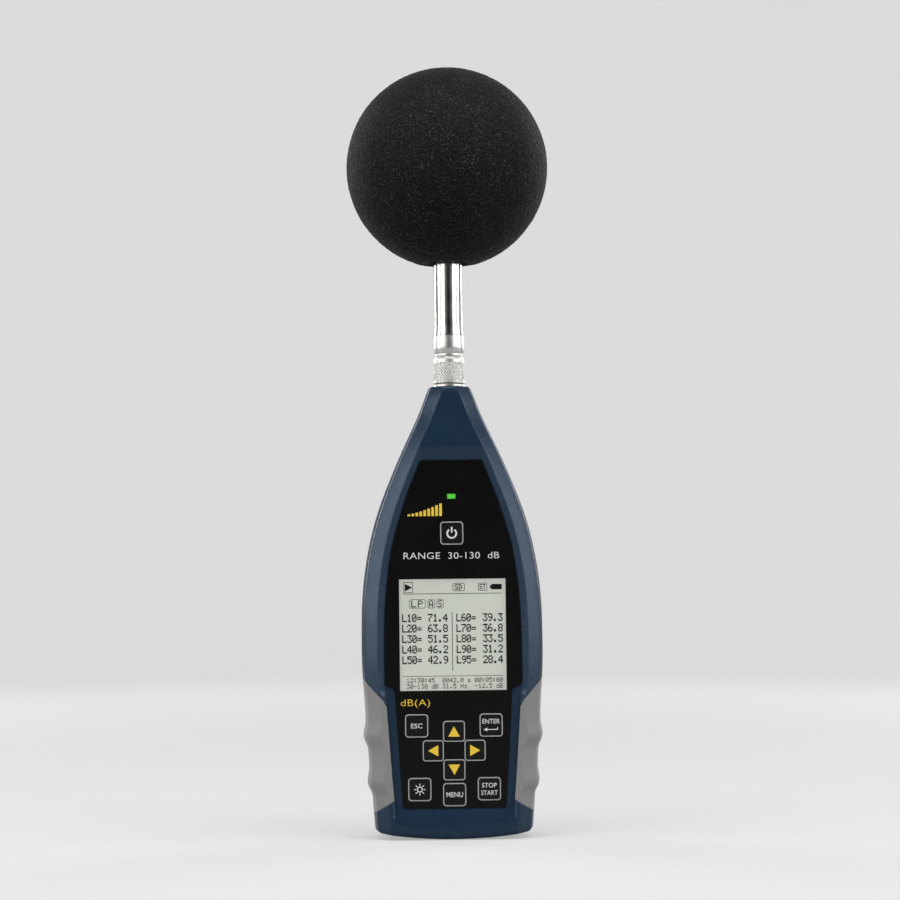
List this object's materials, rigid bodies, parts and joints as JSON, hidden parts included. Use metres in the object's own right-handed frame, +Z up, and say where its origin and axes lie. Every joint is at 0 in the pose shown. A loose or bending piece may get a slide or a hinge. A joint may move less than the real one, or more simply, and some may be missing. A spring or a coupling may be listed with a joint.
{
  "type": "sound level meter",
  "caption": "Hand-held sound level meter: tapered housing with rubber grips, display and key pad, screw-on microphone on a slim preamplifier, ball windscreen.",
  "frame": {"origin": "on the microphone axis, at the height of the lowest point of the housing's base", "axes": "+Z up along the microphone axis, -Y out of the display, +X to the right of someone reading the display"},
  "size_m": [0.0904, 0.0904, 0.3439],
  "materials": {
    "housing_blue": "matte",
    "grip_grey": "matte",
    "panel_black": "satin",
    "key_black": "satin",
    "window_clear": "gloss",
    "lens_green": "gloss",
    "lcd_face": "satin",
    "spring_steel": "satin",
    "bright_steel": "polished",
    "screw_steel": "satin",
    "screw_black": "satin",
    "board_green": "satin",
    "chip_black": "matte",
    "white_plastic": "satin",
    "ribbon_film": "gloss",
    "cell_sleeve": "gloss",
    "socket_black": "satin",
    "brass_plain": "satin",
    "label_silver": "satin",
    "nickel": "polished",
    "nickel_satin": "satin",
    "gold_contact": "polished",
    "foil": "polished",
    "foam_black": "matte"
  },
  "bodies": {
    "meter": {"front_shell": "housing_blue", "rear_shell": "housing_blue", "left_grip": "grip_grey", "right_grip": "grip_grey", "front_panel": "panel_black", "display_window": "window_clear", "led_lens": "lens_green", "snap_domes": "spring_steel", "display_board": "board_green", "main_board": "board_green", "board_chips": "chip_black", "shield_can": "spring_steel", "board_header": "chip_black", "board_screws": "screw_steel", "case_screws": "screw_black", "lcd_glass": "lcd_face", "backlight_panel": "white_plastic", "lcd_frame": "spring_steel", "display_ribbon": "ribbon_film", "clock_cell": "bright_steel", "card_socket": "spring_steel", "memory_card": "chip_black", "batteries": "cell_sleeve", "battery_contacts": "bright_steel", "battery_springs": "bright_steel", "dc_socket": "socket_black", "usb_socket": "bright_steel", "aux_socket": "socket_black", "serial_socket": "socket_black", "tripod_insert": "brass_plain", "rear_label": "label_silver", "coupling_socket": "nickel", "socket_insulator": "white_plastic", "socket_contact": "gold_contact", "socket_nut": "nickel", "coax_lead": "socket_black"},
    "door": {"battery_door": "housing_blue"},
    "preamplifier": {"plug_sleeve": "nickel", "plug_pin": "gold_contact", "preamp_collar": "nickel", "preamp_tube": "nickel", "preamp_insulator": "white_plastic", "preamp_board": "board_green"},
    "lock_ring": {"coupling_nut": "nickel_satin"},
    "capsule": {"mic_housing": "nickel", "mic_insulator": "white_plastic", "mic_backplate": "nickel", "mic_diaphragm": "foil", "mic_grid": "nickel"},
    "windscreen": {"windscreen_foam": "foam_black"},
    "button_power": {"key_power": "key_black"},
    "button_escape": {"key_escape": "key_black"},
    "button_enter": {"key_enter": "key_black"},
    "button_up": {"key_up": "key_black"},
    "button_left": {"key_left": "key_black"},
    "button_right": {"key_right": "key_black"},
    "button_down": {"key_down": "key_black"},
    "button_light": {"key_light": "key_black"},
    "button_menu": {"key_menu": "key_black"},
    "button_start_stop": {"key_start_stop": "key_black"}
  },
  "joints": [
    {"name": "lock_ring_turn", "type": "hinge", "parent": "preamplifier", "child": "lock_ring", "pos_m": [0, 0, 0.2076], "axis": [0, 0, 1], "range_deg": [0, 2160]},
    {"name": "preamp_lift", "type": "slide", "parent": "meter", "child": "preamplifier", "axis": [0, 0, 1], "range_m": [0, 0.0054]},
    {"name": "capsule_lift", "type": "slide", "parent": "preamplifier", "child": "capsule", "axis": [0, 0, 1], "range_m": [0, 0.006]},
    {"name": "windscreen_slide", "type": "slide", "parent": "capsule", "child": "windscreen", "axis": [0, 0, 1], "range_m": [0, 0.06]},
    {"name": "battery_door_hinge", "type": "hinge", "parent": "meter", "child": "door", "pos_m": [0, 0.0205, 0.0108], "axis": [-1, 0, 0], "range_deg": [0, 85]},
    {"name": "press_power", "type": "slide", "parent": "meter", "child": "button_power", "axis": [0, 1, 0], "range_m": [0, 0.0004], "stiffness_N_per_m": 200, "deforming": ["snap_domes"]},
    {"name": "press_escape", "type": "slide", "parent": "meter", "child": "button_escape", "axis": [0, 1, 0], "range_m": [0, 0.0004], "stiffness_N_per_m": 200, "deforming": ["snap_domes"]},
    {"name": "press_enter", "type": "slide", "parent": "meter", "child": "button_enter", "axis": [0, 1, 0], "range_m": [0, 0.0004], "stiffness_N_per_m": 200, "deforming": ["snap_domes"]},
    {"name": "press_up", "type": "slide", "parent": "meter", "child": "button_up", "axis": [0, 1, 0], "range_m": [0, 0.0004], "stiffness_N_per_m": 200, "deforming": ["snap_domes"]},
    {"name": "press_left", "type": "slide", "parent": "meter", "child": "button_left", "axis": [0, 1, 0], "range_m": [0, 0.0004], "stiffness_N_per_m": 200, "deforming": ["snap_domes"]},
    {"name": "press_right", "type": "slide", "parent": "meter", "child": "button_right", "axis": [0, 1, 0], "range_m": [0, 0.0004], "stiffness_N_per_m": 200, "deforming": ["snap_domes"]},
    {"name": "press_down", "type": "slide", "parent": "meter", "child": "button_down", "axis": [0, 1, 0], "range_m": [0, 0.0004], "stiffness_N_per_m": 200, "deforming": ["snap_domes"]},
    {"name": "press_light", "type": "slide", "parent": "meter", "child": "button_light", "axis": [0, 1, 0], "range_m": [0, 0.0004], "stiffness_N_per_m": 200, "deforming": ["snap_domes"]},
    {"name": "press_menu", "type": "slide", "parent": "meter", "child": "button_menu", "axis": [0, 1, 0], "range_m": [0, 0.0004], "stiffness_N_per_m": 200, "deforming": ["snap_domes"]},
    {"name": "press_start_stop", "type": "slide", "parent": "meter", "child": "button_start_stop", "axis": [0, 1, 0], "range_m": [0, 0.0004], "stiffness_N_per_m": 200, "deforming": ["snap_domes"]}
  ],
  "couplings": [
    {"joint": "lock_ring_turn", "follows": "preamp_lift", "rad_per_m": 6926.3}
  ]
}
